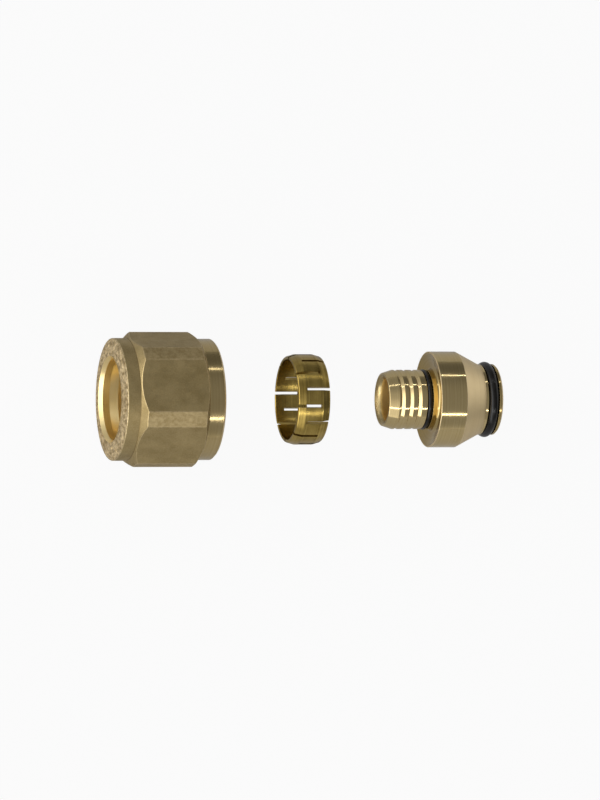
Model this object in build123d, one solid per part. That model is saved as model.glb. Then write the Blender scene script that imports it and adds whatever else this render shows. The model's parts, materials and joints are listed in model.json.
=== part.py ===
# Compression fitting for plastic pipe: a hexagon union nut, a split clamping ring and a barbed insert
# that carries two O-rings. The pieces lie in a row on one axis, apart from each other, as they are sold.
# Units are millimetres. X is the axis of the fitting, from the nut to the nose of the insert, and Z is up.
# The origin is on the axis, in the plane of the insert's shoulder rim.
import math
import os

from build123d import *

# Pipe that the fitting takes
pipe_outer_radius = 9.525
pipe_inner_radius = 7.3

# Gaps between the pieces in the row
ring_to_tail_gap = 16.0
nut_to_ring_gap = 19.1

# Split clamping ring, turned with a taper towards each end and slit from both ends in turn
ring_bore_clearance = 0.125
ring_wall = 1.23
ring_length = 8.0
ring_taper_length = 1.85
ring_taper_drop = 0.4
ring_end_round = 0.5
ring_bore_chamfer = 0.15
slot_count = 16
slot_width = 0.75
slot_bridge = 2.16
slot_turn = 23.4
saw_past = 1.0

# Inside of the union nut: pipe hole, seat for the ring, chamber, thread
pipe_hole_clearance = 0.275
pipe_hole_flare = 0.6
pipe_hole_flare_length = 0.95
pipe_hole_end = 2.6
nut_seat_angle = 30.0
chamber_clearance = 0.42
chamber_length = 2.8
thread_major_radius = 13.22
thread_clearance = 0.08
thread_runout_length = 1.2
thread_lead = 0.4

# Outside of the union nut, forged with a hexagon and turned at both ends
nut_length = 25.0
nut_flat_wall = 1.7
nut_corner_cut = 1.12
nut_back_collar_step = 0.3
nut_back_collar_length = 3.8
nut_back_bevel_width = 1.95
nut_back_bevel_length = 0.55
nut_back_round = 0.25
nut_back_chamfer_length = 1.6
nut_front_chamfer_length = 1.15
nut_front_collar_step = 0.45
nut_front_collar_length = 4.0
nut_front_chamfer = 0.45
envelope_margin = 0.05

# Tail of the insert, with a lead-in and barbs that slope towards the tip and are steep behind
tail_length = 11.55
barb_clearance = 0.15
barb_depth = 0.5
barb_steep = 0.3
barb_ramp = 0.79
barb_pitch = 2.12
barb_count = 3
first_barb = 2.7
lead_length = 2.4
lead_drop = 0.75
tail_tip_round = 0.25
tail_tip_land = 0.1
tail_wall = 1.4
mouth_length = 1.8

# Shoulder of the insert, dished so that the end of the ring goes in under its rim
dish_clearance = 0.42
dish_depth = 1.15
root_fillet = 0.8
shoulder_rim = 0.27

# Collar, cone and nose of the insert
collar_length = 6.5
collar_edge = 0.15
cone_length = 5.75
nose_radius = 8.55
nose_land = 0.62
nose_flange = 0.91
nose_chamfer = 0.37
nose_bore_chamfer = 0.6

# O-rings in their grooves
tail_root_land = 0.62
tail_oring_section = 1.3
tail_oring_stand = 0.15
tail_oring_gap = 0.1
nose_oring_section = 2.45
nose_oring_stand = 0.58
nose_oring_gap = 0.16
oring_seat_gap = 0.01


def turned(start, *steps):
    """Solid turned about X. Each step is the next point (x, radius), or a pair of points for an arc."""
    edges = []
    at = start
    for step in steps:
        if isinstance(step[0], tuple):
            edges.append(ThreePointArc(at, step[0], step[1]))
            at = step[1]
        else:
            edges.append(Line(at, step))
            at = step
    edges.append(Line(at, start))
    return revolve(Plane.XZ * make_face(edges), Axis.X, 360)


def quarter(x, r, size, x_way):
    """Middle point of a rounded outer edge, a quarter circle of radius size about (x, r - size)."""
    lean = size * math.sin(math.radians(45))
    return (x + lean * x_way, r - size + lean)


def o_ring(place, outer_radius, section):
    """Round rubber ring about X, with its middle plane at place."""
    circle = Plane.XZ * Pos(place, outer_radius - section / 2) * Circle(section / 2)
    return revolve(circle, Axis.X, 360)


# Places along the axis
tail_tip = -tail_length
ring_end = tail_tip - ring_to_tail_gap
ring_start = ring_end - ring_length
nut_end = ring_start - nut_to_ring_gap
nut_start = nut_end - nut_length

# Split ring: a cylinder that tapers to both ends, with a plain bore and rounded ends
ring_bore_radius = pipe_outer_radius + ring_bore_clearance
ring_crown_radius = ring_bore_radius + ring_wall
ring_side_radius = ring_crown_radius - ring_taper_drop
ring_band = turned(
    (ring_start + ring_bore_chamfer, ring_bore_radius),
    (ring_start, ring_bore_radius + ring_bore_chamfer),
    (ring_start, ring_side_radius - ring_end_round),
    (
        quarter(ring_start + ring_end_round, ring_side_radius, ring_end_round, -1),
        (ring_start + ring_end_round, ring_side_radius),
    ),
    (ring_start + ring_taper_length, ring_crown_radius),
    (ring_end - ring_taper_length, ring_crown_radius),
    (ring_end - ring_end_round, ring_side_radius),
    (
        quarter(ring_end - ring_end_round, ring_side_radius, ring_end_round, 1),
        (ring_end, ring_side_radius - ring_end_round),
    ),
    (ring_end, ring_bore_radius + ring_bore_chamfer),
    (ring_end - ring_bore_chamfer, ring_bore_radius),
)

# Saw slots, each open at one end of the ring only. Angles run from the front, at -Y, upwards.
slot_length = ring_length - slot_bridge
saw_reach = ring_crown_radius + saw_past
saw_from = ring_bore_radius - saw_past
slots = []
for k in range(slot_count):
    if k % 2 == 0:
        saw_middle = ring_start + (slot_length - saw_past) / 2
    else:
        saw_middle = ring_end - (slot_length - saw_past) / 2
    blade = Box(slot_length + saw_past, saw_reach - saw_from, slot_width)
    blade = Pos(saw_middle, -(saw_reach + saw_from) / 2, 0) * blade
    slots.append(Rot(-(slot_turn + 360 / slot_count * k), 0, 0) * blade)
split_ring = ring_band - slots

# Inside of the nut, from the pipe hole to the thread
pipe_hole_radius = pipe_outer_radius + pipe_hole_clearance
chamber_radius = ring_crown_radius + chamber_clearance
thread_radius = thread_major_radius + thread_clearance
nut_seat_length = (chamber_radius - pipe_hole_radius) / math.tan(math.radians(nut_seat_angle))
seat_end = nut_start + pipe_hole_end + nut_seat_length
chamber_end = seat_end + chamber_length
nut_inside = turned(
    (nut_start, 0),
    (nut_start, pipe_hole_radius + pipe_hole_flare),
    (nut_start + pipe_hole_flare_length, pipe_hole_radius),
    (nut_start + pipe_hole_end, pipe_hole_radius),
    (seat_end, chamber_radius),
    (chamber_end, chamber_radius),
    (chamber_end + thread_runout_length, thread_radius),
    (nut_end - thread_lead, thread_radius),
    (nut_end, thread_radius + thread_lead),
    (nut_end, 0),
)

# Outside of the nut. A turned envelope gives the bevelled back face, the collars and the hexagon's chamfers.
flat_radius = thread_radius + nut_flat_wall
sharp_corner = flat_radius / math.cos(math.radians(30))
corner_radius = sharp_corner - nut_corner_cut
corner_half = nut_corner_cut * math.tan(math.radians(60))
envelope_radius = math.hypot(corner_radius, corner_half) + envelope_margin
back_collar_radius = flat_radius - nut_back_collar_step
front_collar_radius = flat_radius - nut_front_collar_step
back_bevel_end = nut_start + nut_back_bevel_length
back_edge_radius = back_collar_radius - nut_back_round
back_hex = nut_start + nut_back_collar_length
front_hex = nut_end - nut_front_collar_length
envelope = turned(
    (nut_start, 0),
    (nut_start, back_edge_radius - nut_back_bevel_width),
    (back_bevel_end, back_edge_radius),
    (
        quarter(back_bevel_end + nut_back_round, back_collar_radius, nut_back_round, -1),
        (back_bevel_end + nut_back_round, back_collar_radius),
    ),
    (back_hex, back_collar_radius),
    (back_hex + nut_back_chamfer_length, envelope_radius),
    (front_hex - nut_front_chamfer_length, envelope_radius),
    (front_hex, front_collar_radius),
    (nut_end - nut_front_chamfer, front_collar_radius),
    (nut_end, front_collar_radius - nut_front_chamfer),
    (nut_end, 0),
)

# Hexagon bar with its corners cut flat, one flat below and one above
hexagon = []
for k in range(6):
    turn = math.radians(60 * k)
    for side in (-1, 1):
        y = corner_radius * math.cos(turn) - side * corner_half * math.sin(turn)
        z = corner_radius * math.sin(turn) + side * corner_half * math.cos(turn)
        hexagon.append((y, z))
hexagon_face = Plane.YZ.offset(nut_start) * make_face(Polyline(*hexagon, close=True))
hexagon_bar = extrude(hexagon_face, nut_length)
union_nut = (envelope & hexagon_bar) - nut_inside

# Radii of the insert, from the pipe's bore inwards and from the ring outwards
crest_radius = pipe_inner_radius - barb_clearance
tip_radius = crest_radius - lead_drop
waterway_radius = tip_radius - tail_wall
dish_radius = ring_crown_radius + dish_clearance
collar_radius = dish_radius + shoulder_rim

# Mouth of the bore: an arc that leaves the waterway smoothly and opens to the edge of the tip
mouth_radius = tip_radius - tail_tip_round - tail_tip_land
mouth_flare = mouth_radius - waterway_radius
mouth_half_turn = math.atan2(mouth_flare, mouth_length)
mouth_arc_radius = mouth_length / math.sin(2 * mouth_half_turn)
mouth_middle = (
    tail_tip + mouth_length - mouth_arc_radius * math.sin(mouth_half_turn),
    waterway_radius + mouth_arc_radius * (1 - math.cos(mouth_half_turn)),
)

# Root of the tail: a fillet from the tail's cylinder into the dish
root_start = dish_depth - root_fillet
root_lean = root_fillet * math.sin(math.radians(45))
root_middle = (root_start + root_lean, crest_radius + root_fillet - root_lean)

# O-rings, each in the middle of its groove
tail_oring_radius = crest_radius + tail_oring_stand
tail_groove_radius = tail_oring_radius - tail_oring_section - oring_seat_gap
tail_groove_end = -tail_root_land
tail_groove_start = tail_groove_end - tail_oring_section - 2 * tail_oring_gap
tail_oring = o_ring((tail_groove_start + tail_groove_end) / 2, tail_oring_radius, tail_oring_section)
nose_oring_radius = nose_radius + nose_oring_stand
nose_groove_radius = nose_oring_radius - nose_oring_section - oring_seat_gap
nose_groove_start = collar_length + cone_length + nose_land
nose_groove_end = nose_groove_start + nose_oring_section + 2 * nose_oring_gap
nose_oring = o_ring((nose_groove_start + nose_groove_end) / 2, nose_oring_radius, nose_oring_section)

# Insert, turned in one piece from the tip of the tail to the nose
nose_end = nose_groove_end + nose_flange
barbs = []
for k in range(barb_count):
    edge = tail_tip + first_barb + barb_pitch * k
    barbs.append((edge, crest_radius))
    barbs.append((edge + barb_steep, crest_radius - barb_depth))
    barbs.append((edge + barb_steep + barb_ramp, crest_radius))
insert_body = turned(
    (tail_tip + mouth_length, waterway_radius),
    (mouth_middle, (tail_tip, mouth_radius)),
    (tail_tip, tip_radius - tail_tip_round),
    (
        quarter(tail_tip + tail_tip_round, tip_radius, tail_tip_round, -1),
        (tail_tip + tail_tip_round, tip_radius),
    ),
    (tail_tip + lead_length, crest_radius),
    *barbs,
    (tail_groove_start, crest_radius),
    (tail_groove_start, tail_groove_radius),
    (tail_groove_end, tail_groove_radius),
    (tail_groove_end, crest_radius),
    (root_start, crest_radius),
    (root_middle, (dish_depth, crest_radius + root_fillet)),
    (0, dish_radius),
    (0, collar_radius - collar_edge),
    (collar_edge, collar_radius),
    (collar_length, collar_radius),
    (collar_length + cone_length, nose_radius),
    (nose_groove_start, nose_radius),
    (nose_groove_start, nose_groove_radius),
    (nose_groove_end, nose_groove_radius),
    (nose_groove_end, nose_radius),
    (nose_end - nose_chamfer, nose_radius),
    (nose_end, nose_radius - nose_chamfer),
    (nose_end, waterway_radius + nose_bore_chamfer),
    (nose_end - nose_bore_chamfer, waterway_radius),
)

os.makedirs("parts", exist_ok=True)
export_step(union_nut, "parts/union_nut.step")
export_step(split_ring, "parts/split_ring.step")
export_step(insert_body, "parts/insert_body.step")
export_step(tail_oring, "parts/tail_oring.step")
export_step(nose_oring, "parts/nose_oring.step")
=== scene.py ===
# Compression fitting for plastic pipe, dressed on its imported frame. Units are metres.
# X is the axis of the fitting, from the nut to the nose of the insert, and Z is up.
import json
import math

import bpy
import numpy as np
from mathutils import Matrix, Vector


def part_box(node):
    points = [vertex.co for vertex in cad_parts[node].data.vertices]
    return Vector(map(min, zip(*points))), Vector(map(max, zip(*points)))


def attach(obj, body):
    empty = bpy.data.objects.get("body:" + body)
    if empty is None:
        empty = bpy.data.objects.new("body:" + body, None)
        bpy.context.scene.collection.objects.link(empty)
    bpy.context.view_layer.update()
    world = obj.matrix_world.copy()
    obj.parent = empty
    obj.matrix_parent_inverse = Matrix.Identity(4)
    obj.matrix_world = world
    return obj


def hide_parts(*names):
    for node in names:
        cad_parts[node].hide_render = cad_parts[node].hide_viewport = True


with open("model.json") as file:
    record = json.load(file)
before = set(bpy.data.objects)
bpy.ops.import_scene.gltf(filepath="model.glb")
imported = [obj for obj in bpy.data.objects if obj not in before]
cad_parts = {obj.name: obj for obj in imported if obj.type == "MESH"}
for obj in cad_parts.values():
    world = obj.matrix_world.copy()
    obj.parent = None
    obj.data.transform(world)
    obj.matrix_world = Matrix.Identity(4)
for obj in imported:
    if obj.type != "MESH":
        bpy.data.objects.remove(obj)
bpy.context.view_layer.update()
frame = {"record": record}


# Insert: the core of the fitting, one piece of brass bar turned on a lathe. Its barbed tail goes into the
# pipe, the pipe's end stops at its shoulder, and its cone and nose seal in the port that the nut screws on.
mm = 0.001
mounts = {mount["name"]: mount["dims"] for mount in frame["record"]["mounts"]}
insert_low, insert_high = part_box("insert_body")
tail_tip = insert_low.x
nose_end = insert_high.x
collar_radius = insert_high.z
crest_radius = mounts["pipe_tail"]["r_mm"] * mm
waterway_radius = mounts["water_bore"]["r_mm"] * mm
mouth_length = 1.8 * mm
mouth_flare = 1.05 * mm
mouth_round = 1.9 * mm
tip_radius = 6.4 * mm
tip_round = 0.25 * mm
lead_length = 2.4 * mm
barb_count = 3
first_barb = 2.7 * mm
barb_pitch = 2.12 * mm
barb_steep = 0.3 * mm
barb_ramp = 0.79 * mm
barb_depth = 0.5 * mm
barb_root_round = 0.12 * mm
tail_groove_start = -2.12 * mm
tail_groove_end = -0.62 * mm
tail_groove_radius = 5.99 * mm
dish_radius = 11.3 * mm
dish_depth = 1.425 * mm
root_round = 0.77 * mm
collar_edge = 0.15 * mm
collar_length = 6.5 * mm
cone_end = collar_length + 5.75 * mm
nose_radius = 8.55 * mm
nose_groove_start = 12.87 * mm
nose_groove_end = 15.64 * mm
nose_groove_radius = 6.67 * mm
nose_chamfer = 0.37 * mm
nose_bore_chamfer = 0.6 * mm
broken_edge = 0.05 * mm
groove_round = 0.1 * mm
insert_columns = 192
tool_ring_pitch = 0.4 * mm
tool_ring_depth = 0.003 * mm
tool_ring_slant = 1.37
handling_size = 2.5 * mm
handling_share = 0.5


def rounded_outline(corners, arc_points=8, support=0.06 * mm):
    """Closed outlines of (x, radius) points, one for each column of the piece. Each corner (x, radius,
    rounding) becomes an arc that starts rounding * tan(turn / 2) before the corner and sweeps the whole
    turn, and a point close to each end of the arc keeps the straight runs flat when the surface is shaded
    smooth. The third result is 1 on the arcs of edges that stand out, -1 on those of inner corners, and 0
    between."""
    values = np.broadcast_arrays(*[np.atleast_1d(value) for corner in corners for value in corner])
    x, radius, rounding = np.stack(values).reshape(len(corners), 3, -1).transpose(1, 0, 2)[..., None]
    points = np.concatenate([x, radius], -1)
    run = np.roll(points, -1, 0) - points
    length = np.linalg.norm(run, axis=-1, keepdims=True)
    ahead = run / length
    behind = np.roll(ahead, 1, 0)
    cross = behind[..., :1] * ahead[..., 1:] - behind[..., 1:] * ahead[..., :1]
    turn = np.arctan2(cross, (behind * ahead).sum(-1, keepdims=True))
    cut = rounding * np.tan(abs(turn) / 2)
    spare = np.minimum(support, (length - cut - np.roll(cut, -1, 0)) / 4)
    start = points - behind * cut
    inwards = np.concatenate([-behind[..., 1:], behind[..., :1]], -1) * np.sign(turn)
    sweep = abs(turn)[:, None] * np.linspace(0, 1, arc_points)[:, None, None]
    bend = np.sin(sweep) * behind[:, None] + (1 - np.cos(sweep)) * inwards[:, None]
    arc = start[:, None] + rounding[:, None] * bend
    before = start - behind * np.roll(spare, 1, 0)
    after = points + ahead * (cut + spare)
    outline = np.concatenate([before[:, None], arc, after[:, None]], 1)
    edge = np.pad(-np.sign(turn[:, None]).repeat(arc_points, 1), ((0, 0), (1, 1), (0, 0), (0, 0)))
    rows = len(corners) * (arc_points + 2)
    return outline[..., 0].reshape(rows, -1), outline[..., 1].reshape(rows, -1), edge.reshape(rows, -1)


def new_piece(name, vertices, faces):
    """Mesh object at the origin, shaded smooth."""
    mesh = bpy.data.meshes.new(name)
    mesh.from_pydata(vertices.reshape(-1, 3).tolist(), [], faces, shade_flat=False)
    mesh.update()
    piece = bpy.data.objects.new(name, mesh)
    bpy.context.scene.collection.objects.link(piece)
    return piece


def round_the_axis(name, x, radius, angle):
    """Closed surface round the X axis. A vertex is (x, -radius * cos(angle), radius * sin(angle)), with one
    row for each point of the outline and one column for each angle, and it closes on itself both ways."""
    x, radius, angle = np.broadcast_arrays(x, radius, angle)
    vertices = np.stack([x, -radius * np.cos(angle), radius * np.sin(angle)], -1)
    index = np.arange(x.size).reshape(x.shape)
    next_row = np.roll(index, -1, 0)
    faces = np.stack([index, next_row, np.roll(next_row, -1, 1), np.roll(index, -1, 1)], -1)
    return new_piece(name, vertices, faces.reshape(-1, 4).tolist())


# The mouth's corner is as far from the start of its curve in the waterway as it is from the rim.
mouth_corner = (mouth_length - mouth_flare**2 / mouth_length) / 2
insert_corners = [
    (tail_tip + mouth_corner, waterway_radius, mouth_round),
    (tail_tip, waterway_radius + mouth_flare, broken_edge),
    (tail_tip, tip_radius, tip_round),
    (tail_tip + lead_length, crest_radius, broken_edge),
]
for barb in range(barb_count):
    barb_edge = tail_tip + first_barb + barb * barb_pitch
    insert_corners += [
        (barb_edge, crest_radius, broken_edge),
        (barb_edge + barb_steep, crest_radius - barb_depth, barb_root_round),
        (barb_edge + barb_steep + barb_ramp, crest_radius, broken_edge),
    ]
insert_corners += [
    (tail_groove_start, crest_radius, broken_edge),
    (tail_groove_start, tail_groove_radius, groove_round),
    (tail_groove_end, tail_groove_radius, groove_round),
    (tail_groove_end, crest_radius, broken_edge),
    (dish_depth, crest_radius, root_round),
    (0, dish_radius, broken_edge),
    (0, collar_radius, collar_edge),
    (collar_length, collar_radius, broken_edge),
    (cone_end, nose_radius, broken_edge),
    (nose_groove_start, nose_radius, broken_edge),
    (nose_groove_start, nose_groove_radius, groove_round),
    (nose_groove_end, nose_groove_radius, groove_round),
    (nose_groove_end, nose_radius, broken_edge),
    (nose_end - nose_chamfer, nose_radius, broken_edge),
    (nose_end, nose_radius - nose_chamfer, broken_edge),
    (nose_end, waterway_radius + nose_bore_chamfer, broken_edge),
    (nose_end - nose_bore_chamfer, waterway_radius, broken_edge),
]
insert_x, insert_radius, _ = rounded_outline(insert_corners)
insert_angle = np.linspace(0, 2 * math.pi, insert_columns, endpoint=False)[None]
insert = round_the_axis("insert", insert_x, insert_radius, insert_angle)


def shader_node(owner, kind, inputs=None, **settings):
    """New node of a material or world. Each input is a value, or another node's output, which is linked."""
    node = owner.node_tree.nodes.new(kind)
    for key, value in settings.items():
        setattr(node, key, value)
    for key, value in (inputs or {}).items():
        if isinstance(value, bpy.types.NodeSocket):
            owner.node_tree.links.new(value, node.inputs[key])
        else:
            node.inputs[key].default_value = value
    return node


def new_material(name):
    """Material with no nodes but the Object coordinates that its patterns read."""
    material = bpy.data.materials.new(name)
    material.use_nodes = True
    material.node_tree.nodes.clear()
    return material, shader_node(material, "ShaderNodeTexCoord").outputs["Object"]


def arithmetic(owner, operation, *values):
    """Result of one step of arithmetic on values, which are numbers or outputs of other nodes."""
    return shader_node(owner, "ShaderNodeMath", dict(enumerate(values)), operation=operation).outputs[0]


def weighed(material, first, second, share):
    """Sum of two noises: a share of the first, and the rest of the second."""
    rest = arithmetic(material, "MULTIPLY", second, 1 - share)
    return arithmetic(material, "MULTIPLY_ADD", first, share, rest)


def lathe_marks(material, place):
    """Fine rings left by the tool: 1-D noise of x + slant * radius, so that cylinders, cones and faces all
    show them. The result is the noise, from 0 to 1."""
    split = shader_node(material, "ShaderNodeSeparateXYZ", {0: place}).outputs
    square = arithmetic(material, "POWER", split["Y"], 2)
    square = arithmetic(material, "MULTIPLY_ADD", split["Z"], split["Z"], square)
    radius = arithmetic(material, "SQRT", square)
    along = arithmetic(material, "MULTIPLY_ADD", radius, tool_ring_slant, split["X"])
    return shader_node(
        material,
        "ShaderNodeTexNoise",
        {"W": along, "Scale": 1 / tool_ring_pitch, "Detail": 3.0, "Roughness": 0.6},
        noise_dimensions="1D",
    ).outputs["Fac"]


def clouds(material, place, size, detail=3.0):
    """Soft 3-D noise with patches of the given size, from 0 to 1."""
    return shader_node(
        material,
        "ShaderNodeTexNoise",
        {"Vector": place, "Scale": 1 / size, "Detail": detail, "Roughness": 0.55},
    ).outputs["Fac"]


def spread(material, value, low, high):
    """Value stretched from the usual 0.3 to 0.7 of a noise to low and high."""
    return shader_node(
        material,
        "ShaderNodeMapRange",
        {"Value": value, "From Min": 0.3, "From Max": 0.7, "To Min": low, "To Max": high},
    ).outputs["Result"]


def colour_between(material, share, first, second):
    """Colour that goes from first to second with share."""
    mix = shader_node(material, "ShaderNodeMix", {"Factor": share}, data_type="RGBA")
    for socket, colour in ((mix.inputs[6], first), (mix.inputs[7], second)):
        if isinstance(colour, bpy.types.NodeSocket):
            material.node_tree.links.new(colour, socket)
        else:
            socket.default_value = (*colour, 1)
    return mix.outputs[2]


def close_material(material, inputs, height, depth, strength=1.0):
    """Ends a material with a shader that has these inputs, and a relief of this height map and depth."""
    relief = shader_node(
        material,
        "ShaderNodeBump",
        {"Height": height, "Strength": strength, "Distance": depth},
    ).outputs["Normal"]
    shader = shader_node(material, "ShaderNodeBsdfPrincipled", {**inputs, "Normal": relief})
    shader_node(material, "ShaderNodeOutputMaterial", {"Surface": shader.outputs[0]})
    return material


def turned_brass(name, bright, deep, smooth, dull, patch_share=0.35, patch_size=6 * mm):
    """Brass off the lathe: bright metal with soft patches of a deeper tone, fine tool rings in its tone and
    its relief, and a roughness that goes from smooth to dull with the rings and with handling."""
    material, place = new_material(name)
    rings = lathe_marks(material, place)
    tone = weighed(material, clouds(material, place, patch_size), rings, patch_share)
    wear = weighed(material, clouds(material, place, handling_size), rings, handling_share)
    inputs = {
        "Base Color": colour_between(material, spread(material, tone, 0, 1), bright, deep),
        "Metallic": 1.0,
        "Roughness": spread(material, wear, smooth, dull),
    }
    return close_material(material, inputs, rings, tool_ring_depth)


def finish_rows(piece, columns, main, finishes):
    """Material of each row of a piece's grid: the first of the finishes (material, rows) whose rows hold
    it, or else the main one."""
    for material in [main] + [material for material, _ in finishes]:
        piece.data.materials.append(material)
    slot = np.select([rows for _, rows in finishes], list(range(1, len(finishes) + 1)), 0)
    piece.data.polygons.foreach_set("material_index", np.repeat(slot, columns).astype(np.int32))


insert_brass = turned_brass(
    "turned_brass", bright=(0.67, 0.53, 0.28), deep=(0.53, 0.40, 0.18), smooth=0.07, dull=0.16
)
drilled_brass = turned_brass(
    "drilled_brass", bright=(0.70, 0.50, 0.19), deep=(0.58, 0.40, 0.13), smooth=0.48, dull=0.58
)
# Darker brass for the dish of the shoulder and for the nose flange: painted shade.
shaded_brass = turned_brass(
    "shaded_brass", bright=(0.53, 0.40, 0.18), deep=(0.43, 0.315, 0.12), smooth=0.1, dull=0.2
)
# Paler, satin brass for the insert's rim, cone and nose edge and for the nut's front edge: painted
# highlight and reflection.
pale_highlight_brass = turned_brass(
    "pale_highlight_brass", bright=(0.80, 0.635, 0.365), deep=(0.72, 0.56, 0.31), smooth=0.32, dull=0.42
)
# Darker, satin brass for the mouth of the tail: painted shade.
shaded_mouth_brass = turned_brass(
    "shaded_mouth_brass", bright=(0.53, 0.415, 0.21), deep=(0.42, 0.32, 0.145), smooth=0.24, dull=0.34
)
row_x = insert_x[:, 0]
row_radius = insert_radius[:, 0]
in_waterway = row_radius < waterway_radius + broken_edge
in_mouth = (row_x < tail_tip + mouth_length) & (row_radius < waterway_radius + mouth_flare)
on_root = (row_x > tail_groove_end) & (row_radius > tail_groove_radius)
on_shoulder = on_root & (row_x < dish_depth + broken_edge) & (row_radius < dish_radius)
on_rim = (abs(row_x) < collar_edge) & (row_radius >= dish_radius - broken_edge)
on_cone = (row_x > collar_length) & (row_x < cone_end) & (row_radius > nose_radius)
on_flange = (row_x > nose_groove_end) & (row_radius > nose_groove_radius)
on_nose_edge = (row_x > nose_end - nose_chamfer) & (row_radius > nose_radius - nose_chamfer)
insert_finishes = [
    (drilled_brass, in_waterway),
    # Paler brass on the rim, cone and nose edge: painted highlight and reflection.
    (pale_highlight_brass, on_rim | on_cone | on_nose_edge),
    # Darker brass in the dish and on the nose flange: painted shade.
    (shaded_brass, on_shoulder | on_flange),
    # Darker brass in the mouth: painted shade.
    (shaded_mouth_brass, in_mouth),
]
finish_rows(insert, insert_columns, insert_brass, insert_finishes)
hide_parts("insert_body")
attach(insert, "insert")


# Tail O-ring: a small black rubber ring, moulded, in the groove at the root of the tail. It seals
# against the inside of the pipe.
oring_columns = 160
oring_section_points = 32
flash_height = 0.012 * mm
flash_width = 0.12
rubber_black = (0.003, 0.0025, 0.002)
rubber_bloom = (0.007, 0.006, 0.005)
bloom_size = 1.6 * mm
rubber_smooth = 0.16
rubber_dull = 0.26
rubber_gloss_size = 0.9 * mm
rubber_grain_size = 0.12 * mm
rubber_grain_depth = 0.006 * mm


def o_ring(name, node):
    """Torus in the box of its node. A vertex is a point of the round section, carried round the axis, with
    the thin seam of the mould as a low bump, height * exp(-(cos(around) / width) ** 2), where the section
    is widest and narrowest."""
    low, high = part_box(node)
    section = (high.x - low.x) / 2
    middle = (high.x + low.x) / 2
    around = np.linspace(math.pi, -math.pi, oring_section_points, endpoint=False)[:, None]
    seam = np.exp(-((np.cos(around) / flash_width) ** 2))
    reach = section - flash_height + flash_height * seam
    x = middle + reach * np.cos(around)
    radius = high.z - section + reach * np.sin(around)
    angle = np.linspace(0, 2 * math.pi, oring_columns, endpoint=False)[None]
    return round_the_axis(name, x, radius, angle)


def black_rubber():
    """Moulded black rubber: nearly black, with a faint bloom in patches, an uneven gloss and a fine
    grain."""
    material, place = new_material("black_rubber")
    bloom = spread(material, clouds(material, place, bloom_size), 0, 1)
    gloss = clouds(material, place, rubber_gloss_size)
    grain = clouds(material, place, rubber_grain_size, detail=2.0)
    inputs = {
        "Base Color": colour_between(material, bloom, rubber_black, rubber_bloom),
        "Roughness": spread(material, gloss, rubber_smooth, rubber_dull),
        "Specular IOR Level": 0.3,
    }
    return close_material(material, inputs, grain, rubber_grain_depth, strength=0.5)


rubber = black_rubber()
tail_seal = o_ring("tail_seal", "tail_oring")
tail_seal.data.materials.append(rubber)
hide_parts("tail_oring")
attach(tail_seal, "insert")


# Nose O-ring: the larger black rubber ring in the groove of the nose. It seals in the bore of the port
# and is stretched over the nose flange into its groove.
nose_seal = o_ring("nose_seal", "nose_oring")
nose_seal.data.materials.append(rubber)
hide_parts("nose_oring")
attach(nose_seal, "insert")


# Split ring: a thin brass ring, turned with a taper towards each end and sawn from both ends in turn, so
# that it closes like a spring. The nut's seat squeezes it on the pipe.
ring_low, ring_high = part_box("split_ring")
ring_half_length = (ring_high.x - ring_low.x) / 2
ring_bore_radius = mounts["ring_bore"]["r_mm"] * mm
ring_crown_radius = ring_bore_radius + 1.23 * mm
ring_taper_length = 1.85 * mm
ring_taper_drop = 0.4 * mm
ring_end_round = 0.5 * mm
ring_bore_chamfer = 0.15 * mm
ring_edge_break = 0.05 * mm
ring_sharp_angle = math.radians(40)
slot_count = 16
slot_width = 0.75 * mm
slot_bridge = 2.16 * mm
slot_turn = math.radians(23.4)
land_columns = 10
crown_softness = 0.04 * mm
crown_edge_start = ring_taper_length - 4 * crown_softness
end_round_rows = 7
taper_rows = 5
crown_edge_rows = 8
crown_rows = 6


def soft_lesser(first, second, softness):
    """The lesser of two radii, with the edge where they cross rounded: less softness / 4 where they are
    equal, and less nothing from where they differ by softness."""
    near = np.clip(1 - abs(first - second) / softness, 0, 1)
    return np.minimum(first, second) - near**2 * softness / 4


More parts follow.
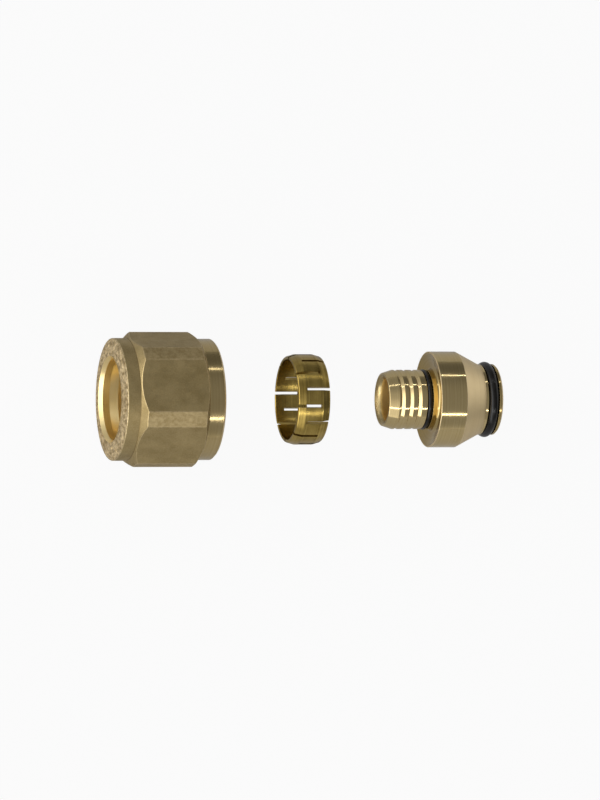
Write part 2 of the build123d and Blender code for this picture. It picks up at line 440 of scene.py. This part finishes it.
def slit_ring(name):
    """Grid of rows along the axis and columns round it, outside and inside. The outside radius is level,
    with a straight taper and a quarter circle at each end, and the inside is plain with a small chamfer.
    The two columns beside a slot stand asin(width / 2 / radius) from its middle, so its sides are parallel.
    Cells in a slot are left out, and a wall joins outside and inside along every edge of what is kept."""
    on_round = ring_end_round * (1 - np.cos(np.linspace(0, math.pi / 2, end_round_rows)))
    on_taper = np.linspace(ring_end_round, crown_edge_start, taper_rows)[1:]
    over_edge = np.linspace(crown_edge_start, slot_bridge, crown_edge_rows)[1:]
    to_middle = np.linspace(slot_bridge, ring_half_length, crown_rows)[1:]
    past_round = [ring_end_round + ring_edge_break]
    from_end = np.concatenate([on_round, past_round, on_taper, over_edge, to_middle])
    depth = np.concatenate([from_end, from_end[-2::-1]])
    x = np.concatenate([ring_low.x + from_end, ring_high.x - from_end[-2::-1]])[:, None]

    taper_slope = ring_taper_drop / (ring_taper_length - ring_end_round)
    tapered = ring_crown_radius - taper_slope * (ring_taper_length - depth)
    level = soft_lesser(tapered, np.full_like(depth, ring_crown_radius), crown_softness)
    level = np.where(depth < ring_end_round, ring_crown_radius - ring_taper_drop, level)
    short = np.clip(ring_end_round - depth, 0, ring_end_round)
    outside = level - ring_end_round + np.sqrt(ring_end_round**2 - short**2)
    inside = ring_bore_radius + np.clip(ring_bore_chamfer - depth, 0, ring_bore_chamfer)

    period = 2 * math.pi / slot_count
    share = np.tile(np.linspace(0, 1, land_columns), slot_count)[None]
    first = np.repeat(slot_turn + period * np.arange(slot_count), land_columns)[None]
    sheets = []
    for radius in (outside[:, None], inside[:, None]):
        edge = np.arcsin(slot_width / 2 / radius)
        angle = first + edge + share * (period - 2 * edge)
        sheets.append(np.stack([x + 0 * angle, -radius * np.cos(angle), radius * np.sin(angle)], -1))

    rows, columns = sheets[0].shape[:2]
    middle = (x[1:, 0] + x[:-1, 0]) / 2
    opens_low = middle < ring_high.x - slot_bridge
    opens_high = middle > ring_low.x + slot_bridge
    keep = np.ones((rows - 1, columns), bool)
    last_of_land = np.arange(land_columns - 1, columns, land_columns)
    keep[:, last_of_land[1::2]] = ~opens_low[:, None]
    keep[:, last_of_land[0::2]] = ~opens_high[:, None]

    outer = np.arange(rows * columns).reshape(rows, columns)
    inner = outer + rows * columns
    beside = np.roll(np.arange(columns), -1)
    row, column = np.nonzero(keep)
    corner = (
        (row, column),
        (row + 1, column),
        (row + 1, beside[column]),
        (row, beside[column]),
    )
    skins = [
        np.stack([outer[at] for at in corner], 1),
        np.stack([inner[at] for at in corner[::-1]], 1),
    ]
    padded = np.pad(keep, ((1, 1), (0, 0)))
    gone = {
        (0, 1): ~np.roll(keep, 1, 1),
        (1, 2): ~padded[2:],
        (2, 3): ~np.roll(keep, -1, 1),
        (3, 0): ~padded[:-2],
    }
    walls = []
    for (start, end), open_side in gone.items():
        cells = open_side[row, column]
        one = tuple(part[cells] for part in corner[start])
        two = tuple(part[cells] for part in corner[end])
        walls.append(np.stack([outer[two], outer[one], inner[one], inner[two]], 1))
    return new_piece(name, np.stack(sheets), np.concatenate(skins + walls).tolist())


ring = slit_ring("ring")
ring.data.set_sharp_from_angle(angle=ring_sharp_angle)
ring_bevel = ring.modifiers.new("broken_edges", "BEVEL")
ring_bevel.width = ring_edge_break
ring_bevel.segments = 2
ring_bevel.limit_method = "ANGLE"
ring_bevel.angle_limit = ring_sharp_angle
ring_bevel.harden_normals = True
ring_brass = turned_brass(
    "ring_brass",
    bright=(0.58, 0.425, 0.125),
    deep=(0.20, 0.13, 0.025),
    smooth=0.2,
    dull=0.26,
    patch_share=0.5,
    patch_size=4 * mm,
)
ring.data.materials.append(ring_brass)
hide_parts("split_ring")
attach(ring, "ring")


# Union nut: hot-forged brass, with cut corners, a blasted skin and a mottled back face. Its front collar,
# pipe hole and inside are turned, and the pipe hole and inside are much paler, which is painted light. It
# screws on the port and draws the ring over the pipe.
nut_low, nut_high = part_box("union_nut")
pipe_hole_radius = mounts["pipe_hole"]["r_mm"] * mm
thread_radius = mounts["nut_thread"]["r_mm"] * mm
flat_radius = nut_high.z
corner_radius = nut_high.y
flare_radius = pipe_hole_radius + 0.6 * mm
flare_end = nut_low.x + 0.95 * mm
pipe_hole_end = nut_low.x + 2.6 * mm
seat_end = pipe_hole_end + 2.6 * mm
chamber_radius = 11.3 * mm
chamber_end = seat_end + 2.8 * mm
thread_end = chamber_end + 1.2 * mm
thread_lead = 0.4 * mm
back_collar_radius = flat_radius - 0.3 * mm
back_hex = nut_low.x + 3.8 * mm
back_bevel_width = 1.95 * mm
back_bevel_end = nut_low.x + 0.55 * mm
back_round = 0.25 * mm
back_face_radius = back_collar_radius - back_round - back_bevel_width
back_chamfer_slope = 1.041
front_collar_radius = flat_radius - 0.45 * mm
front_hex = nut_high.x - 4.0 * mm
front_chamfer_slope = 1.579
front_chamfer = 0.45 * mm
forged_edge = 0.2 * mm
forged_corner = 0.25 * mm
# A cut corner is (full corner - cut) * tan(60 degrees) wide on each side of its middle.
sixth_turn = math.pi / 3
full_corner_radius = flat_radius / math.cos(sixth_turn / 2)
corner_half_angle = math.atan((full_corner_radius / corner_radius - 1) * math.tan(sixth_turn))
hexagon_softness = 260
flat_column_spacing = math.radians(2.4)
corner_columns = 4
edge_column_spacing = math.radians(0.3)
edge_columns_each_side = 6
# Half width of the lighter band on the hexagon's edges (partly rubbed brass, partly painted highlight), and
# the share of it, and of the painted shade in inner corners, on the front of the nut.
rubbed_highlight_half_width = 2 * edge_column_spacing
front_highlight_and_shade_share = 0.6
face_row_spacing = 0.16 * mm
plain_row_spacing = 3 * mm
mottle_size = 0.9 * mm
mottle_size_range = (0.7, 2.2)
mottle_depth = 0.2 * mm
mottle_waves = 40
mottle_steepness = 1.6
mottle_seed = 5
strip_raw = 0.22
skin_plain = (0.445, 0.342, 0.168)
skin_stained = (0.32, 0.24, 0.107)
raw_dark = (0.34, 0.24, 0.11)
raw_light = (0.87, 0.70, 0.42)
# Colour of edges that stand out: partly rubbed brass, partly painted highlight.
rubbed_highlight_colour = (0.72, 0.57, 0.33)
# Colour and share of the darkening in inner corners: painted shade.
corner_shade_colour = (0.18, 0.125, 0.05)
corner_shade_share = 0.6
stain_size = 3.5 * mm
stain_share = 0.6
stain_range = (-0.2, 1.2)
skin_grain_size = 0.3 * mm
skin_grain_height = 0.25
raw_grain_size = 0.95 * mm
speckle_range = (-0.15, 1.15)
# Size of the breaks in the lighter edge lines (partly painted highlight), and how much smoother those edges
# are.
rubbed_highlight_break_size = 0.8 * mm
rubbed_polish = 0.14
skin_smooth = 0.48
skin_dull = 0.58
skin_gloss_size = 1.2 * mm
skin_relief = 0.12 * mm


def closer_rows(longest, x, radius, edge):
    """Outline with every run between two rows divided evenly, into pieces no longer than that row's
    longest."""
    grid = np.stack([x, radius, edge], -1)
    run = np.roll(grid, -1, 0) - grid
    pieces = np.ceil(np.linalg.norm(run[..., :2], axis=-1).max(1) / longest).astype(int).clip(1)
    start = np.repeat(np.arange(len(x)), pieces)
    step = np.arange(pieces.sum()) - np.repeat(np.cumsum(pieces) - pieces, pieces)
    grid = grid[start] + run[start] * (step / pieces[start])[:, None, None]
    return grid[..., 0], grid[..., 1], grid[..., 2]


def hexagon_columns():
    """Angles round the nut, close together at the twelve edges of the hexagon and its cut corners. The
    second result is exp(-(distance / half width) ** 2), 1 at those edges and nearly 0 beside them."""
    corners = sixth_turn * np.arange(6)[:, None]
    edges = (corners + corner_half_angle * np.array([-1, 1])).ravel()
    beside = edge_column_spacing * np.arange(-edge_columns_each_side, edge_columns_each_side + 1)
    near = (edges[:, None] + beside).ravel()
    reach = beside[-1]
    flat_from = corner_half_angle + reach
    flat_to = sixth_turn - corner_half_angle - reach
    flat_columns = round((flat_to - flat_from) / flat_column_spacing) + 1
    on_flat = np.linspace(flat_from, flat_to, flat_columns)[1:-1]
    on_corner = np.linspace(reach - corner_half_angle, corner_half_angle - reach, corner_columns)[1:-1]
    between = corners + np.concatenate([on_flat, on_corner])
    angle = np.sort(np.mod(np.concatenate([near, between.ravel()]), 2 * math.pi))
    away = np.abs(np.angle(np.exp(1j * (angle[:, None] - edges)))).min(1)
    return angle[None], np.exp(-((away / rubbed_highlight_half_width) ** 2))[None]


def hexagon_radius(angle):
    """Outline of the hexagon with cut corners: the sum over its twelve sides of cos(angle from the side) /
    distance, each to a high power, and the sum to -1 / that power, which is the nearest side with a soft
    edge to the next. One flat is above and one below."""
    side = np.arange(12)
    distance = np.where(side % 2 == 1, flat_radius, corner_radius)
    facing = np.clip(np.cos(angle[..., None] - sixth_turn / 2 * side), 0, 1) * flat_radius / distance
    return flat_radius * (facing**hexagon_softness).sum(-1) ** (-1 / hexagon_softness)


def mottle(radius, angle):
    """Uneven skin of a forging, from 0 to 1: the sum of many cosine waves of about one size, in random
    directions and phases, steepened by tanh so that it breaks into patches."""
    draw = np.random.default_rng(mottle_seed)
    heading = draw.uniform(0, 2 * math.pi, mottle_waves)
    number = 2 * math.pi / (mottle_size * draw.uniform(*mottle_size_range, mottle_waves))
    phase = draw.uniform(0, 2 * math.pi, mottle_waves)
    across = (radius * np.cos(angle))[..., None] * np.cos(heading)
    across = across + (radius * np.sin(angle))[..., None] * np.sin(heading)
    height = np.cos(across * number + phase).sum(-1) / math.sqrt(mottle_waves)
    return 0.5 + 0.5 * np.tanh(mottle_steepness * height)


nut_angle, hexagon_edges = hexagon_columns()
hexagon = hexagon_radius(nut_angle)[0]
nut_corners = [
    (nut_low.x, flare_radius, broken_edge),
    (nut_low.x, back_face_radius, forged_corner),
    (back_bevel_end, back_collar_radius, back_round),
    (back_hex, back_collar_radius, forged_corner),
    (back_hex + (hexagon - back_collar_radius) / back_chamfer_slope, hexagon, forged_edge),
    (front_hex - (hexagon - front_collar_radius) / front_chamfer_slope, hexagon, forged_edge),
    (front_hex, front_collar_radius, broken_edge),
    (nut_high.x - front_chamfer, front_collar_radius, broken_edge),
    (nut_high.x, front_collar_radius - front_chamfer, broken_edge),
    (nut_high.x, thread_radius + thread_lead, broken_edge),
    (nut_high.x - thread_lead, thread_radius, broken_edge),
    (thread_end, thread_radius, broken_edge),
    (chamber_end, chamber_radius, broken_edge),
    (seat_end, chamber_radius, broken_edge),
    (pipe_hole_end, pipe_hole_radius, broken_edge),
    (flare_end, pipe_hole_radius, broken_edge),
]
nut_x, nut_radius, nut_edge = rounded_outline(nut_corners, arc_points=6)
on_face = (nut_x < back_bevel_end + back_round) & (nut_radius > flare_radius - broken_edge)
row_spacing = np.where(on_face[:, 0], face_row_spacing, plain_row_spacing)
nut_x, nut_radius, nut_edge = closer_rows(row_spacing, nut_x, nut_radius, nut_edge)
from_flare = nut_radius - flare_radius
from_collar = back_collar_radius - back_round / 2 - nut_radius
face_share = np.clip(from_flare / face_row_spacing, 0, 1) * np.clip(from_collar / face_row_spacing, 0, 1)
face_share = face_share * (nut_x < back_bevel_end + back_round)
nut_x = nut_x + mottle_depth * face_share * mottle(nut_radius, nut_angle)
nut = round_the_axis("nut", nut_x, nut_radius, nut_angle)
on_hexagon = (nut_x > back_hex) & (nut_x < front_hex) & (abs(nut_radius - hexagon) < broken_edge)
# The hexagon's edges take the lighter band, partly rubbed brass and partly painted highlight. On the front
# of the nut this band and the painted shade in inner corners are weaker.
nut_edge = np.where(on_hexagon, np.maximum(nut_edge, hexagon_edges), nut_edge)
nut_edge = np.where(nut_x < back_hex, nut_edge, front_highlight_and_shade_share * nut_edge)
on_corner = abs(np.mod(nut_angle + sixth_turn / 2, sixth_turn) - sixth_turn / 2) < corner_half_angle
nut_raw = np.where(on_hexagon & on_corner, strip_raw, face_share)
for name, values in (("edge", nut_edge), ("raw", nut_raw)):
    attribute = nut.data.attributes.new(name, "FLOAT", "POINT")
    attribute.data.foreach_set("value", values.ravel().astype(np.float32))


def forged_brass():
    """Forged and blasted brass: dull and even on the flats, with a fine grain and soft stains. Where the
    raw skin of the forging is left, it is coarser and speckled. Edges that stand out are lighter in broken
    lines, partly rubbed brass and partly painted highlight, and inner corners are darker, painted shade."""
    material, place = new_material("forged_brass")
    edge = shader_node(material, "ShaderNodeAttribute", attribute_name="edge").outputs["Fac"]
    raw = shader_node(material, "ShaderNodeAttribute", attribute_name="raw").outputs["Fac"]
    grain = clouds(material, place, skin_grain_size)
    stain = weighed(material, clouds(material, place, stain_size, detail=5.0), grain, stain_share)
    skin = colour_between(material, spread(material, stain, *stain_range), skin_plain, skin_stained)
    coarse = clouds(material, place, raw_grain_size, detail=4.0)
    speckle = colour_between(material, spread(material, coarse, *speckle_range), raw_dark, raw_light)
    skin = colour_between(material, raw, skin, speckle)
    # Edges that stand out turn lighter in broken lines: partly rubbed brass, partly painted highlight.
    broken = spread(material, clouds(material, place, rubbed_highlight_break_size), 0, 1)
    rubbed_highlight = arithmetic(material, "MULTIPLY", arithmetic(material, "MAXIMUM", edge, 0), broken)
    skin = colour_between(material, rubbed_highlight, skin, rubbed_highlight_colour)
    # Inner corners turn darker: painted shade.
    corner_shade = arithmetic(material, "MULTIPLY", arithmetic(material, "MINIMUM", edge, 0), -corner_shade_share)
    skin = colour_between(material, corner_shade, skin, corner_shade_colour)
    height = arithmetic(material, "MULTIPLY", grain, skin_grain_height)
    height = arithmetic(material, "MULTIPLY_ADD", coarse, raw, height)
    gloss = spread(material, clouds(material, place, skin_gloss_size), skin_smooth, skin_dull)
    inputs = {
        "Base Color": skin,
        "Metallic": 1.0,
        "Roughness": arithmetic(material, "MULTIPLY_ADD", rubbed_highlight, -rubbed_polish, gloss),
    }
    return close_material(material, inputs, height, skin_relief)


nut_turned = turned_brass(
    "nut_turned", bright=(0.59, 0.46, 0.235), deep=(0.44, 0.325, 0.14), smooth=0.1, dull=0.2
)
# Much paler brass for the flare, the bores and the thread inside the nut, and for the pipe hole: painted
# light reaching inside.
nut_bored_lit = turned_brass(
    "nut_bored_lit", bright=(0.92, 0.74, 0.38), deep=(0.82, 0.63, 0.28), smooth=0.28, dull=0.38
)
nut_drilled_lit = turned_brass(
    "nut_drilled_lit", bright=(0.93, 0.72, 0.31), deep=(0.82, 0.60, 0.22), smooth=0.36, dull=0.48
)
row_start = nut_x.min(1)
row_end = nut_x.max(1)
row_inmost = nut_radius.min(1)
row_outmost = nut_radius.max(1)
is_inside = (row_outmost < thread_radius + thread_lead) & (row_start > flare_end)
is_hole = is_inside & (row_end < pipe_hole_end)
is_flare = (row_outmost < flare_radius) & (row_end < flare_end)
is_front = row_start > front_hex - broken_edge
is_front_edge = row_start > nut_high.x - front_chamfer
is_front_edge = is_front_edge & (row_inmost > front_collar_radius - front_chamfer)
is_chamfer = (row_start < back_hex + forged_corner) & (row_end > back_hex + forged_corner)
nut_finishes = [
    # Paler brass in the pipe hole, the flare and the inside: painted light.
    (nut_drilled_lit, is_hole),
    (nut_bored_lit, is_inside | is_flare),
    # Paler brass on the front edge of the collar: painted highlight.
    (pale_highlight_brass, is_front_edge),
    (nut_turned, is_front | is_chamfer),
]
finish_rows(nut, nut_angle.size, forged_brass(), nut_finishes)
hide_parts("union_nut")
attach(nut, "nut")


# Nut thread: the ridge of the parallel pipe thread cut inside the nut, right-handed, with fourteen turns
# to the inch. It runs out in the relief before the chamber.
thread_pitch = 25.4 / 14 * mm
thread_crest_radius = 12.06 * mm
thread_bed = 0.04 * mm
thread_crest_half = 0.16 * mm
thread_flank = math.tan(math.radians(27.5))
thread_fade_turns = 0.6
thread_steps_per_turn = 120
ridge_lift = np.array([0, 0.15, 0.9, 1, 1, 0.9, 0.15, 0])
ridge_side = np.array([-1, -1, -1, -0.7, 0.7, 1, 1, 1])


def thread_ridge(name):
    """Ridge section carried along a helix. A point of the section is at a share of the height, ridge_lift,
    and at a share of the half width there, ridge_side. Its x goes down by one pitch for each turn of the
    angle, and its height grows from nothing and fades to nothing over part of a turn at its ends, which are
    capped."""
    root = thread_radius + thread_bed
    height = root - thread_crest_radius
    half = thread_crest_half + height * thread_flank
    across = ridge_side * (thread_crest_half + (1 - ridge_lift) * height * thread_flank)
    start = nut_high.x - thread_lead - half
    end = thread_end + half
    turns = (start - end) / thread_pitch
    turn = np.linspace(0, turns, round(turns * thread_steps_per_turn))[:, None]
    fade = np.clip(np.minimum(turn, turns - turn) / thread_fade_turns, 0, 1)
    fade = fade * fade * (3 - 2 * fade)
    x = start - thread_pitch * turn + across
    radius = root - height * ridge_lift * fade
    angle = 2 * math.pi * turn
    vertices = np.stack([x, -radius * np.cos(angle), radius * np.sin(angle)], -1)
    index = np.arange(x.size).reshape(x.shape)
    beside = np.roll(index, -1, 1)
    faces = np.stack([index[:-1], index[1:], beside[1:], beside[:-1]], -1)
    caps = [index[0].tolist(), index[-1, ::-1].tolist()]
    return new_piece(name, vertices, faces.reshape(-1, 4).tolist() + caps)


thread = thread_ridge("nut_thread")
# The ridge takes the paler brass of the nut's inside: painted light.
thread.data.materials.append(nut_bored_lit)
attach(thread, "nut")


# Floor, light and camera: a plain pale floor under the nut's lower flat, and a soft studio with two strip
# lamps along the row and panels over it. The camera looks down on the row, turned a little to the back of
# the nut.
floor_reach = 3.0
floor_gap = 0.02 * mm
floor_grey = (0.54, 0.54, 0.54, 1)
floor_white_share = {"Is Camera Ray": 0.93, "Is Glossy Ray": 0.05, "Is Transmission Ray": 0.05}
floor_corners = floor_reach * np.array([[-1, -1, 0], [1, -1, 0], [1, 1, 0], [-1, 1, 0]])
floor = new_piece("floor", floor_corners + [0, 0, nut_low.z - floor_gap], [[0, 1, 2, 3]])
floor_white, _ = new_material("floor_white")
floor_paint = shader_node(floor_white, "ShaderNodeBsdfDiffuse", {"Color": floor_grey})
floor_light = shader_node(floor_white, "ShaderNodeEmission", {"Color": (1, 1, 1, 1)})
ray = shader_node(floor_white, "ShaderNodeLightPath").outputs
white_share = 0
for kind, share in floor_white_share.items():
    white_share = arithmetic(floor_white, "MULTIPLY_ADD", ray[kind], share, white_share)
floor_mix = shader_node(
    floor_white,
    "ShaderNodeMixShader",
    {0: white_share, 1: floor_paint.outputs[0], 2: floor_light.outputs[0]},
)
shader_node(floor_white, "ShaderNodeOutputMaterial", {"Surface": floor_mix.outputs[0]})
floor.data.materials.append(floor_white)

# The studio's light by its place along the row, from the nut's side at -1 to the nose's side at 1, with a
# faint glow round the horizon that is stronger in front than behind.
studio_light = {
    -1.0: 1.5,
    -0.8: 3.0,
    -0.5: 1.1,
    -0.3: 0.55,
    -0.08: 0.31,
    0.3: 0.29,
    0.6: 0.1,
    0.75: 0.15,
    0.9: 0.75,
    1.0: 0.85,
}
studio_brightest = max(studio_light.values())
studio_turn = math.radians(16)
horizon_glow = 0.32
horizon_falloff = 8
horizon_middle = 0.75
horizon_slope = -0.25
studio_white_share = {"Is Camera Ray": 1.0, "Is Glossy Ray": 0.02, "Is Transmission Ray": 0.02}
studio = bpy.data.worlds.new("studio")
bpy.context.scene.world = studio
studio.use_nodes = True
studio.node_tree.nodes.clear()
toward = shader_node(studio, "ShaderNodeTexCoord").outputs["Generated"]
toward = shader_node(studio, "ShaderNodeSeparateXYZ", {0: toward}).outputs
along_row = arithmetic(studio, "MULTIPLY_ADD", toward["X"], 0.5 * math.cos(studio_turn), 0.5)
along_row = arithmetic(studio, "MULTIPLY_ADD", toward["Y"], 0.5 * math.sin(studio_turn), along_row)
panels = shader_node(studio, "ShaderNodeValToRGB", {"Fac": along_row})
panels.color_ramp.interpolation = "EASE"
stops = panels.color_ramp.elements
stops.remove(stops[1])
for place, light in studio_light.items():
    stop = stops.new((place + 1) / 2) if place > -1 else stops[0]
    stop.color = [light / studio_brightest] * 3 + [1]
glow = arithmetic(studio, "SUBTRACT", 1, arithmetic(studio, "ABSOLUTE", toward["Z"]))
glow = arithmetic(studio, "MULTIPLY", arithmetic(studio, "POWER", glow, horizon_falloff), horizon_glow)
front_share = arithmetic(studio, "MULTIPLY_ADD", toward["Y"], horizon_slope, horizon_middle)
glow = arithmetic(studio, "MULTIPLY", glow, front_share)
brightness = arithmetic(studio, "MULTIPLY_ADD", panels.outputs["Color"], studio_brightest, glow)
ray = shader_node(studio, "ShaderNodeLightPath").outputs
for kind, share in studio_white_share.items():
    brightness = arithmetic(studio, "MULTIPLY_ADD", ray[kind], share, brightness)
ambient = shader_node(studio, "ShaderNodeBackground", {"Color": (1, 1, 1, 1), "Strength": brightness})
shader_node(studio, "ShaderNodeOutputWorld", {"Surface": ambient.outputs[0]})

row_middle = Vector((-32.17 * mm, 0, 0))
lamp_distance = 0.5
lamp_length = 0.9
lamps = {
    "back_strip": {"toward": (0, 0.725, 0.688), "width": 0.01, "radiance": 7.0},
    "front_strip": {"toward": (0, -0.754, 0.657), "width": 0.024, "radiance": 7.5},
}
for name, lamp in lamps.items():
    light = bpy.data.lights.new(name, "AREA")
    light.shape = "RECTANGLE"
    light.size = lamp_length
    light.size_y = lamp["width"]
    light.energy = math.pi * lamp_length * lamp["width"] * lamp["radiance"]
    away = Vector(lamp["toward"]).normalized()
    stand = bpy.data.objects.new(name, light)
    facing = away.to_track_quat("Z", "Y").to_matrix().to_4x4()
    stand.matrix_world = Matrix.Translation(row_middle + away * lamp_distance) @ facing
    stand.visible_camera = False
    bpy.context.scene.collection.objects.link(stand)

camera_turn = math.radians(16.5)
camera_height = math.radians(77.1)
camera_distance = 2.5
frame_height = 192.45 * mm
aim_drop = 0.14 * mm
outward = Vector((0, -math.cos(camera_height), math.sin(camera_height)))
up = Vector((0, math.sin(camera_height), math.cos(camera_height)))
right = Vector((math.cos(camera_turn), 0, 0)) + math.sin(camera_turn) * outward
back = Vector((-math.sin(camera_turn), 0, 0)) + math.cos(camera_turn) * outward
camera = bpy.data.objects.new("camera", bpy.data.cameras.new("camera"))
camera.data.lens = camera.data.sensor_width * camera_distance / frame_height
camera.data.clip_end = 2 * camera_distance
camera_place = row_middle - aim_drop * up + back * camera_distance
camera.matrix_world = Matrix.Translation(camera_place) @ Matrix((right, up, back)).transposed().to_4x4()
bpy.context.scene.collection.objects.link(camera)
bpy.context.scene.camera = camera
bpy.context.scene.view_settings.view_transform = "Standard"
